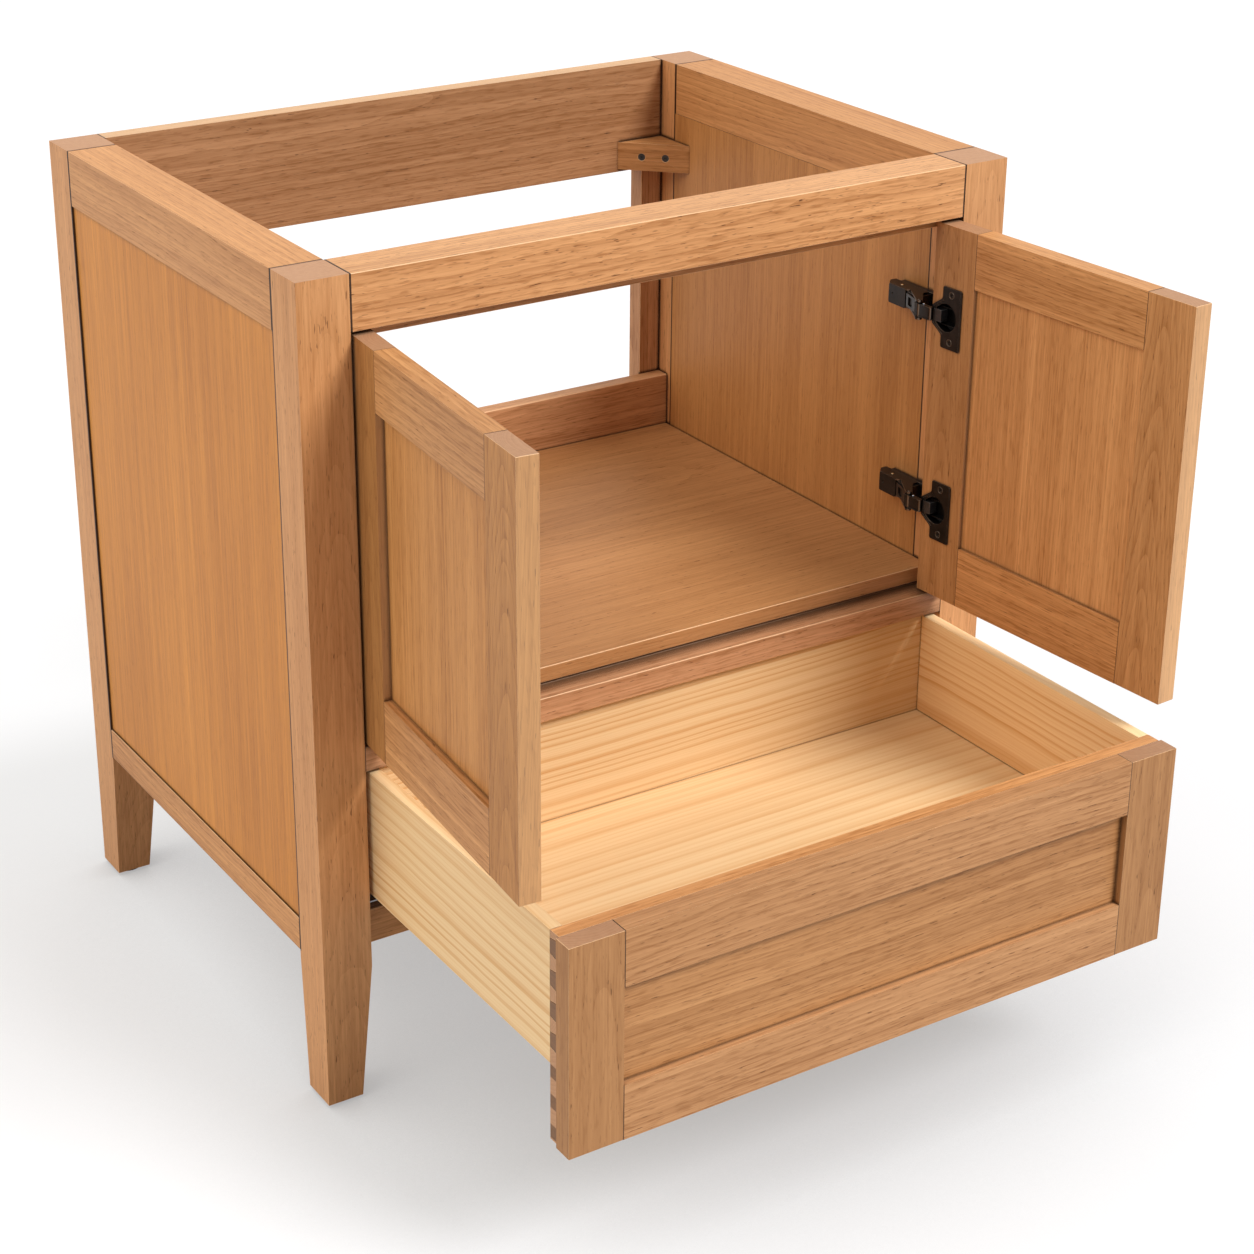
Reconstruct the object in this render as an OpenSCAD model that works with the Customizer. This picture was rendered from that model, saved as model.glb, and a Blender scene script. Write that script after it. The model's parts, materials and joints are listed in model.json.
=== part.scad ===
/* [Cabinet] */
// Width over the posts
width = 762; // [640:2:920]
// Depth from the back of the posts to their front
depth = 546; // [500:2:600]
// Height from the floor to the top of the frame
height = 814; // [770:2:880]

/* [Posts and legs] */
// Width of a post, seen from the front
post_w = 50; // [46:1:56]
// Depth of a post, seen from the side
post_d = 48; // [46:1:56]
// Height at which the legs start to taper
leg_h = 142; // [120:1:150]
// Width of a foot
foot_w = 36; // [30:1:44]
// Depth of a foot
foot_d = 40; // [30:1:44]
// Thickness of the glide under each foot
glide_h = 4; // [3:0.5:8]
// Diameter of the glide
glide_dia = 30; // [20:1:30]

/* [Frame rails] */
// Height of the front top rail
front_rail_h = 52; // [45:1:70]
// Height of the side top rails
side_rail_h = 55; // [45:1:70]
// Height of the rear top rail
back_rail_h = 120; // [90:2:140]
// Thickness of the rear rails
back_rail_t = 20; // [18:1:26]
// Height of the side bottom rails
side_low_h = 34; // [30:1:36]
// Height of the side bottom rails above the start of the taper
side_low_z = 8; // [8:1:14]
// Height of the front and rear bottom rails
base_rail_h = 36; // [30:1:38]
// Depth of the front bottom rail
base_rail_d = 30; // [24:1:40]
// Height of the drawer space, from the start of the taper to the rail above it
mid_rail_z = 203; // [197:1:210]
// Height of the rail between doors and drawer
mid_rail_h = 25; // [22:1:34]
// Depth of the rail between doors and drawer
mid_rail_d = 40; // [34:1:46]

/* [Panels and deck] */
// Thickness of the side panels
panel_t = 12; // [9:0.5:14]
// Thickness of the side linings
lining_t = 12; // [9:0.5:16]
// How far the side panels lie behind the frame
panel_recess = 2; // [1:0.5:4]
// Thickness of the deck
deck_t = 16; // [14:1:22]
// Shadow gap between the deck and the rail below
deck_gap = 4; // [3:0.5:8]
// Height of the low board at the back of the deck
low_board_h = 60; // [40:2:80]
// Thickness of the low board
low_board_t = 18; // [14:1:20]
// Width of the stiles beside the rear posts
back_stile_w = 27; // [22:1:40]
// Leg length of the triangular corner blocks
block_leg = 58; // [50:1:66]
// Height of the corner blocks
block_h = 31; // [24:1:36]

/* [Doors] */
// Thickness of the doors
door_t = 20; // [19:0.5:21]
// Width of the door stiles
door_stile_w = 55; // [50:1:70]
// Height of the door top rail
door_top_h = 55; // [45:1:80]
// Height of the door bottom rail
door_bottom_h = 62; // [45:1:80]
// Gap between a door and its post
door_gap = 3; // [3:0.1:3.5]
// Gap between the two doors
meeting_gap = 2.5; // [2:0.5:4]
// Opening of the left door in this pose, in degrees
left_open = 95; // [0:1:95]
// Opening of the right door in this pose, in degrees
right_open = 94; // [0:1:95]

/* [Drawer] */
// How far the drawer is pulled out in this pose
drawer_out = 345; // [0:1:345]
// Gap round the drawer front
drawer_gap = 2; // [2:0.5:3]
// Thickness of the drawer front frame
drawer_front_t = 20; // [19:0.5:21]
// Width of the drawer front stiles
drawer_stile_w = 54; // [45:1:70]
// Height of the drawer front rails
drawer_rail_h = 54; // [45:1:66]
// Height of the drawer sides
box_side_h = 129; // [118:1:132]
// Thickness of the drawer sides and back
box_t = 12; // [11:0.5:13]
// Length of the drawer box
box_len = 345; // [345:1:360]
// Pitch of the dovetails
tail_pitch = 30; // [28:1:34]

/* [Hinges] */
// Distance of a hinge from the end of its door
hinge_inset = 92; // [80:1:110]
// Diameter of the hinge cup
cup_dia = 35; // [34:0.5:35]
// Depth of the hinge cup
cup_depth = 12; // [11.5:0.5:12.5]

/* [Hidden] */
$fn = 48;
oak = [0.66, 0.43, 0.27];
oak_dark = [0.58, 0.37, 0.23];
pine = [0.88, 0.68, 0.42];
bronze = [0.13, 0.11, 0.10];
zinc = [0.74, 0.75, 0.77];
pad = [0.12, 0.10, 0.09];

// fits and joints
fit = 0.15;
eps = 1;
tenon_l = 17;
tenon_t = 12;
tenon_low = 8;
tenon_high = 12;
thin_tenon_t = 9;
small_shoulder = 4;
rear_tenon_in = 5;
rear_tenon_t = 10;
groove_d = 6;
panel_groove_d = 10;
groove_stop = 9;
rail_gap = 3;
run_gap = 2;
drawer_lap = 4;

// levels above the floor
mid_z = leg_h + mid_rail_z;
drawer_z0 = leg_h - drawer_lap;
drawer_z1 = mid_z - rail_gap;
mid_top = mid_z + mid_rail_h;
deck_z = mid_top + deck_gap;
deck_top = deck_z + deck_t;
door_z0 = mid_top + rail_gap;
door_z1 = height - front_rail_h - rail_gap;
stop_gap = 2;
stop_t = 12;
stop_h = 13;
door_h = door_z1 - door_z0;
side_low_z0 = leg_h + side_low_z;
side_low_top = side_low_z0 + side_low_h;
side_rail_z = height - side_rail_h;
back_rail_z = height - back_rail_h;
block_z = back_rail_z + rail_gap;
base_rail_top = leg_h + base_rail_h;

// depths behind the front plane of the posts
box_front_t = 14;
box_y = drawer_front_t;
box_body_y = box_y + box_front_t;
box_end = box_y + box_len;
base_rail_y = box_body_y + run_gap;
deck_y = door_t + run_gap;
back_y = depth - back_rail_t;
stile_y = back_y - run_gap;
low_board_y = stile_y - low_board_t;
rear_post_y = depth - post_d;

// doors
opening_w = width - 2 * post_w;
door_w = (opening_w - 2 * door_gap - meeting_gap) / 2;
door_panel_t = 8;
door_panel_y = 8;
door_rail_l = door_w - 2 * door_stile_w;
pivot_in = 9;
pivot_x = post_w + pivot_in;
pivot_y = 6;

// drawer
front_w = opening_w - 2 * drawer_gap;
front_h = drawer_z1 - drawer_z0;
front_rail_l = front_w - 2 * drawer_stile_w;
box_gap = 5;
box_x = post_w + box_gap;
box_z = drawer_z1 - box_side_h;
bottom_t = 8;
bottom_rise = 13;
bottom_z = box_z + bottom_rise;
bottom_groove = 5;
tail_base = 14;
tail_end = 19;
tails = floor((box_side_h - drawer_lap) / tail_pitch);

// slides under the drawer, sized to the space between the bottom rail and the drawer sides
slide_sheet = 1.5;
slide_play = 0.3;
slide_gap = 6;
slide_len = box_len + box_gap;
slide_y = base_rail_y + run_gap;
slide_z = base_rail_top + slide_gap;
slide_room = box_z - slide_z;
slide_flange_h = slide_room * 0.75;
slide_lip_h = slide_room * 0.4;
slide_base_w = 52;
slide_mid_in = 28;
slide_mid_w = 20;
slide_shelf_lap = 4;
mid_x0 = post_w + slide_mid_in;
mid_x1 = mid_x0 + slide_mid_w;
mid_z0 = slide_z + slide_sheet + slide_play;
mid_web_z = mid_z0 + slide_room * 0.38;
mid_z1 = box_z - slide_room / 6;
slide_shelf_x1 = mid_x1 + slide_shelf_lap;

// hinges, measured from the post's inner face and from the front plane
cup_inset = 21;
cup_wall = 1;
lug_w = 37;
rim_t = 1.2;
lip_w = 18;
lip_edge = 0.7;
flange_x0 = 14.5;
flange_w = 26;
flange_h = 62;
cup_screw_x = 26.5;
cup_screw_z = 24;
hinge_z = [door_z0 + hinge_inset, door_z1 - hinge_inset];
link_in = 27.9;
link_x = post_w + link_in;
link_y = 26;
link_l = 16;
link_r = 2.6;
link_w = 13;
link_start = 60;
link_gap_w = 24;
link_gap_d = 10;
link_gap_rear = 6;
link_ratio = 0.337;
pin_r = 1.5;
arm_w = 20;
arm_front = 40;
arm_back = 92;
arm_low = 12;
arm_high = 19;
arm_nose = 3.6;
plate_t = 5;
plate_y0 = 30;
plate_y1 = 84;
plate_screw_y = [plate_y0 + 5.5, plate_y1 - 7];
plate_screw_l = 14;
plate_hole = plate_screw_l - plate_t + 1.5;
screw_head_r = 3.6;
screw_shank_r = 1.6;
screw_sink = 0.2;

// corner block screws and glide nails
block_screw_r = 1.9;
block_screw_l = 45;
block_head_r = 4;
block_screw_off = 13.5;
nail_r = 2;
nail_l = 16;

// everything is drawn from the left outer corner of the front plane, then moved to the centre
module place() {
    translate([-width / 2, -(depth - drawer_out) / 2, 0]) children();
}

module right_hand() {
    translate([width, 0, 0]) mirror([1, 0, 0]) children();
}

module from_back() {
    translate([0, depth, 0]) mirror([0, 1, 0]) children();
}

module block(low, high, grow = 0) {
    translate(low - [grow, grow, grow]) cube(high - low + 2 * [grow, grow, grow]);
}

module along_y(y, l) {
    translate([0, y + l, 0]) rotate([90, 0, 0]) linear_extrude(l) children();
}

module along_x(x, l) {
    translate([x, 0, 0]) rotate([90, 0, 90]) linear_extrude(l) children();
}

// tenons of the rails, each drawn at the left end; grow makes the mortise
module x_tenon(y, t, z0, z1, grow = 0) {
    block([post_w - tenon_l - grow, y, z0], [post_w + eps, y + t, z1], grow);
}

module y_tenon(z0, z1, grow = 0) {
    x = (post_w - tenon_t) / 2;
    block([x, post_d - tenon_l - grow, z0], [x + tenon_t, post_d + eps, z1], grow);
}

module top_front_tenon(grow = 0) {
    x_tenon((post_d - tenon_t) / 2, tenon_t, height - front_rail_h + tenon_low, height - tenon_high, grow);
}

module top_rear_tenon(grow = 0) {
    x_tenon(back_y + rear_tenon_in, rear_tenon_t, back_rail_z + tenon_low, height - tenon_high, grow);
}

module top_side_tenon(grow = 0) {
    y_tenon(side_rail_z + tenon_low, height - tenon_high, grow);
}

module low_side_tenon(grow = 0) {
    y_tenon(side_low_z0 + small_shoulder, side_low_top - small_shoulder, grow);
}

module base_front_tenon(grow = 0) {
    x_tenon(base_rail_y + eps, thin_tenon_t, leg_h + small_shoulder, base_rail_top - small_shoulder, grow);
}

module base_rear_tenon(grow = 0) {
    x_tenon(back_y + rear_tenon_in, rear_tenon_t, leg_h + small_shoulder, base_rail_top - small_shoulder, grow);
}

module mid_tenon(grow = 0) {
    x_tenon(tenon_t, tenon_t, mid_z + small_shoulder, mid_top - small_shoulder, grow);
}

module panel_groove(grow = 0) {
    y = post_d - groove_d;
    z = groove_d;
    block([panel_recess, y, side_low_top - z], [panel_recess + panel_t, depth - y, side_rail_z + z], grow);
}

// posts
module post_body() {
    intersection() {
        along_y(0, post_d)
            polygon([[0, glide_h], [foot_w, glide_h], [post_w, leg_h], [post_w, height], [0, height]]);
        along_x(0, post_w)
            polygon([[0, glide_h], [foot_d, glide_h], [post_d, leg_h], [post_d, height], [0, height]]);
    }
}

module glide_nail(grow = 0) {
    translate([foot_w / 2, foot_d / 2, glide_h - eps]) cylinder(r = nail_r + grow, h = nail_l + eps);
}

module plate_screw_spots() {
    for (z = hinge_z, y = plate_screw_y) translate([post_w, y, z]) rotate([0, -90, 0]) children();
}

module plate_screw_holes() {
    plate_screw_spots() translate([0, 0, -eps]) cylinder(r = screw_shank_r + 0.05, h = plate_hole + eps);
}

module front_post() {
    color(oak) difference() {
        post_body();
        top_front_tenon(fit);
        top_side_tenon(fit);
        low_side_tenon(fit);
        base_front_tenon(fit);
        mid_tenon(fit);
        panel_groove(fit);
        glide_nail(0.05);
        plate_screw_holes();
    }
}

module rear_post() {
    color(oak) difference() {
        from_back() post_body();
        from_back() top_side_tenon(fit);
        from_back() low_side_tenon(fit);
        top_rear_tenon(fit);
        base_rear_tenon(fit);
        panel_groove(fit);
        from_back() glide_nail(0.05);
        block_screw_spots() block_pilot();
    }
}

module post_front_left() {
    place() front_post();
}

module post_front_right() {
    place() right_hand() front_post();
}

module post_rear_left() {
    place() rear_post();
}

module post_rear_right() {
    place() right_hand() rear_post();
}

// rails of the frame
module both_ends() {
    children();
    right_hand() children();
}

module front_and_back() {
    children();
    from_back() children();
}

module top_rail_front() {
    color(oak) place() union() {
        block([post_w, 0, height - front_rail_h], [width - post_w, post_d, height]);
        both_ends() top_front_tenon();
    }
}

module top_rail_rear() {
    color(oak) place() difference() {
        union() {
            block([post_w, back_y, back_rail_z], [width - post_w, depth, height]);
            both_ends() top_rear_tenon();
        }
        both_ends() block_screw_spots() block_pilot();
    }
}

module side_rail(z0, z1) {
    color(oak) difference() {
        union() {
            block([0, post_d, z0], [post_w, rear_post_y, z1]);
            front_and_back() children();
        }
        panel_groove(fit);
    }
}

module top_rail_left() {
    place() side_rail(side_rail_z, height) top_side_tenon();
}

module top_rail_right() {
    place() right_hand() side_rail(side_rail_z, height) top_side_tenon();
}

module bottom_rail_left() {
    place() side_rail(side_low_z0, side_low_top) low_side_tenon();
}

module bottom_rail_right() {
    place() right_hand() side_rail(side_low_z0, side_low_top) low_side_tenon();
}

module bottom_rail_front() {
    color(oak) place() union() {
        block([post_w, base_rail_y, leg_h], [width - post_w, base_rail_y + base_rail_d, base_rail_top]);
        both_ends() base_front_tenon();
    }
}

module bottom_rail_rear() {
    color(oak) place() union() {
        block([post_w, back_y, leg_h], [width - post_w, depth, base_rail_top]);
        both_ends() base_rear_tenon();
    }
}

// the rail between doors and drawer has a raised lip at its back that carries the deck
module mid_rail() {
    lip_y = deck_y + deck_gap;
    color(oak) place() union() {
        along_x(post_w, opening_w) polygon([
            [0, mid_z], [mid_rail_d, mid_z], [mid_rail_d, deck_z],
            [lip_y, deck_z], [lip_y, mid_top], [0, mid_top]
        ]);
        both_ends() mid_tenon();
    }
}

// side panels, linings and the deck
module side_panel() {
    reach = groove_d - 0.5;
    color(oak) block(
        [panel_recess, post_d - reach, side_low_top - reach],
        [panel_recess + panel_t, rear_post_y + reach, side_rail_z + reach]
    );
}

module side_panel_left() {
    place() side_panel();
}

module side_panel_right() {
    place() right_hand() side_panel();
}

module side_lining() {
    gap = 0.2;
    color(oak) difference() {
        block(
            [post_w - lining_t, post_d + gap, side_low_top + gap],
            [post_w, rear_post_y - gap, side_rail_z - gap]
        );
        plate_screw_holes();
    }
}

module side_lining_left() {
    place() side_lining();
}

module side_lining_right() {
    place() right_hand() side_lining();
}

module deck() {
    end_gap = 0.5;
    color(oak) place()
        block([post_w + end_gap, deck_y, deck_z], [width - post_w - end_gap, stile_y, deck_top]);
}

// strip under the front top rail that the closed doors stop against
module door_stop() {
    end_gap = 0.5;
    y = door_t + stop_gap;
    z = height - front_rail_h;
    color(oak_dark) place()
        block([post_w + end_gap, y, z - stop_h], [width - post_w - end_gap, y + stop_t, z]);
}

module deck_cleats() {
    cleat = 18;
    color(oak_dark) place() both_ends()
        block([post_w, mid_rail_d + 12, deck_z - cleat], [post_w + cleat, stile_y - 8, deck_z]);
}

module low_back_board() {
    color(oak) place()
        block([post_w, low_board_y, deck_top], [width - post_w, stile_y, deck_top + low_board_h]);
}

module back_stile() {
    color(oak)
        block([post_w, stile_y, base_rail_top], [post_w + back_stile_w, depth, back_rail_z]);
}

module back_stile_left() {
    place() back_stile();
}

module back_stile_right() {
    place() right_hand() back_stile();
}

// corner blocks with two countersunk screws each
module block_screw_spots() {
    half = block_leg / 2;
    for (s = [-1, 1])
        translate([post_w + half, back_y - half, block_z + block_h / 2])
            rotate([0, 90, 135]) translate([0, s * block_screw_off, 0]) children();
}

module block_pilot() {
    translate([0, 0, eps]) cylinder(r = block_screw_r + 0.05, h = block_screw_l);
}

module corner_block() {
    color(oak) difference() {
        translate([0, 0, block_z]) linear_extrude(block_h) polygon([
            [post_w, back_y], [post_w, back_y - block_leg], [post_w + block_leg, back_y]
        ]);
        block_screw_spots() {
            translate([0, 0, -eps]) cylinder(r = block_screw_r + 0.2, h = block_screw_l + eps);
            translate([0, 0, -0.4]) cylinder(r1 = block_head_r + 0.7, r2 = block_screw_r, h = 3.4);
        }
    }
}

module corner_block_left() {
    place() corner_block();
}

module corner_block_right() {
    place() right_hand() corner_block();
}

module corner_block_screws() {
    color(bronze) place() both_ends() block_screw_spots() difference() {
        union() {
            translate([0, 0, 0.4]) cylinder(r1 = block_head_r, r2 = block_screw_r, h = 2.4);
            translate([0, 0, 2]) cylinder(r = block_screw_r, h = block_screw_l - 2);
        }
        for (a = [0, 90]) rotate([0, 0, a]) translate([-2, -0.5, -eps]) cube([4, 1, eps + 1.6]);
    }
}

// glides under the feet
module foot_glides() {
    color(pad) place() both_ends() front_and_back() {
        translate([foot_w / 2, foot_d / 2, 0]) cylinder(d = glide_dia, h = glide_h);
        glide_nail();
    }
}

// slides under the drawer, one set per side
module slide_fixed() {
    x0 = post_w;
    x1 = post_w + slide_base_w;
    color(zinc) along_y(slide_y, slide_len) {
        translate([x0, slide_z]) square([slide_sheet, slide_flange_h]);
        translate([x0, slide_z]) square([slide_base_w, slide_sheet]);
        translate([mid_x0 - slide_play - slide_sheet, slide_z])
            square([slide_sheet, slide_lip_h]);
        translate([mid_x1 + slide_play, slide_z]) square([slide_sheet, slide_lip_h]);
    }
}

module slide_middle() {
    color(zinc) translate([0, -drawer_out / 2, 0]) along_y(slide_y, slide_len) {
        for (x = [mid_x0, mid_x1 - slide_sheet])
            translate([x, mid_z0]) square([slide_sheet, mid_z1 - mid_z0]);
        translate([mid_x0, mid_web_z]) square([mid_x1 - mid_x0, slide_sheet]);
    }
}

module slide_drawer() {
    leg_z = mid_web_z + slide_sheet + slide_play;
    inner = slide_sheet + slide_play;
    shelf_x0 = box_x + box_t + 0.3;
    color(zinc) translate([0, -drawer_out, 0]) along_y(slide_y, box_end - slide_y) {
        for (x = [mid_x0 + inner, mid_x1 - inner - slide_sheet])
            translate([x, leg_z]) square([slide_sheet, bottom_z - leg_z]);
        translate([shelf_x0, bottom_z - slide_sheet])
            square([slide_shelf_x1 - shelf_x0, slide_sheet]);
    }
}

module slide_fixed_left() {
    place() slide_fixed();
}

module slide_fixed_right() {
    place() right_hand() slide_fixed();
}

module slide_middle_left() {
    place() slide_middle();
}

module slide_middle_right() {
    place() right_hand() slide_middle();
}

module slide_drawer_left() {
    place() slide_drawer();
}

module slide_drawer_right() {
    place() right_hand() slide_drawer();
}

// frame and panel work, shared by the doors and the drawer front
module framed_stile(w, h, t) {
    color(oak) difference() {
        cube([w, t, h]);
        translate([w - panel_groove_d, door_panel_y - fit / 2, groove_stop])
            cube([panel_groove_d + eps, door_panel_t + fit, h - 2 * groove_stop]);
    }
}

module framed_rail(l, h, t) {
    reach = panel_groove_d - 0.5;
    color(oak) difference() {
        union() {
            cube([l, t, h]);
            translate([-reach, door_panel_y, groove_stop + fit])
                cube([l + 2 * reach, door_panel_t, h - groove_stop - fit]);
        }
        translate([-panel_groove_d, door_panel_y - fit / 2, h - panel_groove_d])
            cube([l + 2 * panel_groove_d, door_panel_t + fit, panel_groove_d + eps]);
    }
}

module framed_panel(w, h) {
    reach = panel_groove_d - 0.5;
    color(oak) translate([-reach, door_panel_y, -reach])
        cube([w + 2 * reach, door_panel_t, h + 2 * reach]);
}

module upside_down(h) {
    translate([0, 0, h]) mirror([0, 0, 1]) children();
}

// drawer front
module pulled() {
    translate([0, -drawer_out, 0]) children();
}

module on_drawer_front(x = 0, z = 0) {
    place() pulled() translate([post_w + drawer_gap + x, 0, drawer_z0 + z]) children();
}

module drawer_front_stile_left() {
    on_drawer_front() framed_stile(drawer_stile_w, front_h, drawer_front_t);
}

module drawer_front_stile_right() {
    on_drawer_front(front_w) mirror([1, 0, 0]) framed_stile(drawer_stile_w, front_h, drawer_front_t);
}

module drawer_front_rail_bottom() {
    on_drawer_front(drawer_stile_w) framed_rail(front_rail_l, drawer_rail_h, drawer_front_t);
}

module drawer_front_rail_top() {
    on_drawer_front(drawer_stile_w, front_h - drawer_rail_h)
        upside_down(drawer_rail_h) framed_rail(front_rail_l, drawer_rail_h, drawer_front_t);
}

module drawer_front_panel() {
    on_drawer_front(drawer_stile_w, drawer_rail_h)
        framed_panel(front_rail_l, front_h - 2 * drawer_rail_h);
}

// drawer box, joined to its front board by dovetails
function tail_level(i) = drawer_z1 - tail_pitch * (i + 0.5);

function tail_outline(i, grow = 0) = [
    [box_body_y, tail_level(i) + tail_base / 2 + grow],
    [box_y - grow, tail_level(i) + tail_end / 2 + grow],
    [box_y - grow, tail_level(i) - tail_end / 2 - grow],
    [box_body_y, tail_level(i) - tail_base / 2 - grow]
];

module socket_shape(i) {
    half = tail_base / 2 + fit;
    polygon(concat(tail_outline(i, fit), [
        [box_body_y + eps, tail_level(i) - half], [box_body_y + eps, tail_level(i) + half]
    ]));
}

module drawer_box_front() {
    color(oak_dark) place() pulled() difference() {
        block([box_x, box_y, drawer_z0], [width - box_x, box_body_y, drawer_z1]);
        both_ends() for (i = [0 : tails - 1])
            along_x(box_x - eps, box_t + fit + eps) socket_shape(i);
        block(
            [box_x + box_t - bottom_groove, box_body_y - bottom_groove, bottom_z - fit],
            [width - box_x - box_t + bottom_groove, box_body_y + eps, bottom_z + bottom_t + fit]
        );
    }
}

module drawer_side() {
    color(pine) pulled() difference() {
        along_x(box_x, box_t) polygon(concat(
            [[box_body_y, box_z], [box_end, box_z], [box_end, drawer_z1], [box_body_y, drawer_z1]],
            [for (i = [0 : tails - 1]) each tail_outline(i)]
        ));
        block(
            [box_x + box_t - bottom_groove, box_body_y - bottom_groove, bottom_z - fit],
            [box_x + box_t + eps, box_end + eps, bottom_z + bottom_t + fit]
        );
    }
}

module drawer_side_left() {
    place() drawer_side();
}

module drawer_side_right() {
    place() right_hand() drawer_side();
}

module drawer_back() {
    x = box_x + box_t;
    color(pine) place() pulled() block(
        [x, box_end - box_t, bottom_z + bottom_t + fit], [width - x, box_end, drawer_z1]
    );
}

module drawer_bottom() {
    x = box_x + box_t - bottom_groove + 0.5;
    color(pine) place() pulled() block(
        [x, box_body_y - bottom_groove + 0.5, bottom_z], [width - x, box_end, bottom_z + bottom_t]
    );
}

// doors, drawn closed and swung open about the hinge axis
module swung(angle) {
    translate([pivot_x, pivot_y, 0]) rotate([0, 0, -angle]) translate([-pivot_x, -pivot_y, 0]) children();
}

module left_door(x = 0, z = 0) {
    place() swung(left_open) translate([post_w + door_gap + x, 0, door_z0 + z]) children();
}

module right_door(x = 0, z = 0) {
    place() right_hand() swung(right_open)
        translate([post_w + door_gap + x, 0, door_z0 + z]) children();
}

module cup_spots() {
    for (z = [hinge_inset, door_h - hinge_inset]) translate([cup_inset, door_t, z]) rotate([90, 0, 0]) children();
}

module cup_screw_spots() {
    for (z = [hinge_inset, door_h - hinge_inset], s = [-1, 1])
        translate([cup_screw_x, door_t, z + s * cup_screw_z]) rotate([90, 0, 0]) children();
}

module hinge_stile() {
    color(oak) difference() {
        framed_stile(door_stile_w, door_h, door_t);
        cup_spots() translate([0, 0, -eps]) cylinder(d = cup_dia, h = cup_depth + eps + 0.5);
        cup_screw_spots() {
            translate([0, 0, -eps]) cylinder(r = screw_shank_r + 0.05, h = 11 + eps);
            translate([0, 0, screw_sink - rim_t]) screw_cone(0.05);
        }
    }
}

module free_stile() {
    translate([door_w, 0, 0]) mirror([1, 0, 0]) framed_stile(door_stile_w, door_h, door_t);
}

module door_bottom_rail() {
    framed_rail(door_rail_l, door_bottom_h, door_t);
}

module door_top_rail() {
    upside_down(door_top_h) framed_rail(door_rail_l, door_top_h, door_t);
}

module door_panel() {
    framed_panel(door_rail_l, door_h - door_top_h - door_bottom_h);
}

module left_door_hinge_stile() {
    left_door() hinge_stile();
}

module left_door_free_stile() {
    left_door() free_stile();
}

module left_door_top_rail() {
    left_door(door_stile_w, door_h - door_top_h) door_top_rail();
}

module left_door_bottom_rail() {
    left_door(door_stile_w) door_bottom_rail();
}

module left_door_panel() {
    left_door(door_stile_w, door_bottom_h) door_panel();
}

module right_door_hinge_stile() {
    right_door() hinge_stile();
}

module right_door_free_stile() {
    right_door() free_stile();
}

module right_door_top_rail() {
    right_door(door_stile_w, door_h - door_top_h) door_top_rail();
}

module right_door_bottom_rail() {
    right_door(door_stile_w) door_bottom_rail();
}

module right_door_panel() {
    right_door(door_stile_w, door_bottom_h) door_panel();
}

// cups let into the doors, with their flange plates and two screws each
module screw_cone(grow = 0) {
    cylinder(r1 = screw_head_r + grow, r2 = screw_shank_r + grow, h = 2);
}

module screw(l) {
    difference() {
        union() {
            children();
            translate([0, 0, 1]) cylinder(r = screw_shank_r, h = l - 1);
        }
        for (a = [0, 90]) rotate([0, 0, a]) translate([-1.8, -0.45, -eps]) cube([3.6, 0.9, eps + 1.2]);
    }
}

module hinge_cups() {
    inner_r = cup_dia / 2 - fit - cup_wall;
    color(bronze) {
        difference() {
            union() {
                cup_spots() cylinder(r = cup_dia / 2 - fit, h = cup_depth);
                cup_spots() translate([-cup_inset, 0, -rim_t]) linear_extrude(rim_t) polygon([
                    [lip_edge, -lip_w / 2], [flange_x0, -lug_w / 2], [cup_inset, -lug_w / 2],
                    [cup_inset, lug_w / 2], [flange_x0, lug_w / 2], [lip_edge, lip_w / 2]
                ]);
                for (z = [hinge_inset, door_h - hinge_inset])
                    translate([flange_x0, door_t, z - flange_h / 2]) cube([flange_w, rim_t, flange_h]);
            }
            cup_spots() translate([0, 0, -rim_t - eps])
                cylinder(r = inner_r, h = rim_t + cup_depth - cup_wall + eps);
            cup_screw_spots() translate([0, 0, -rim_t - eps])
                cylinder(r = screw_head_r + 0.05, h = rim_t + 2 * eps);
        }
        cup_screw_spots() translate([0, 0, screw_sink - rim_t]) screw(10) screw_cone();
    }
}

module hinge_cups_left() {
    left_door() hinge_cups();
}

module hinge_cups_right() {
    right_door() hinge_cups();
}

// links that swing between the arm's nose and the cup
module hinge_links(angle) {
    color(bronze) for (z = hinge_z)
        translate([link_x, link_y, z - link_w / 2]) rotate([0, 0, -link_start - link_ratio * angle])
            linear_extrude(link_w) difference() {
                union() {
                    circle(r = link_r);
                    translate([0, -link_r]) square([link_l, 2 * link_r]);
                    translate([link_l, 0]) circle(r = link_r);
                }
                circle(r = pin_r + 0.05);
            }
}

module hinge_links_left() {
    place() hinge_links(left_open);
}

module hinge_links_right() {
    place() right_hand() hinge_links(right_open);
}

// arms and mounting plates on the inside of the posts
module hinge_arm(z) {
    pin = [link_in, link_y];
    color(bronze) difference() {
        translate([post_w, 0, z - arm_w / 2]) linear_extrude(arm_w) {
            polygon([
                [plate_t, arm_front], [plate_t, arm_back], [arm_low, arm_back], [arm_high, plate_y1],
                [arm_high, (arm_front + plate_y1) / 2], pin + arm_nose * [0.58, 0.82],
                pin - arm_nose * [0.82, 0.57], [arm_low, arm_front]
            ]);
            translate(pin) circle(r = arm_nose);
        }
        translate([link_x - link_gap_w / 2, link_y - link_gap_d, z - link_w / 2 - slide_play])
            cube([link_gap_w, link_gap_d + link_gap_rear, link_w + 2 * slide_play]);
    }
    color(bronze) translate([link_x, link_y, z - arm_w / 2]) cylinder(r = pin_r, h = arm_w);
}

module hinge_arms() {
    place() both_ends() for (z = hinge_z) hinge_arm(z);
}

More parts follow.
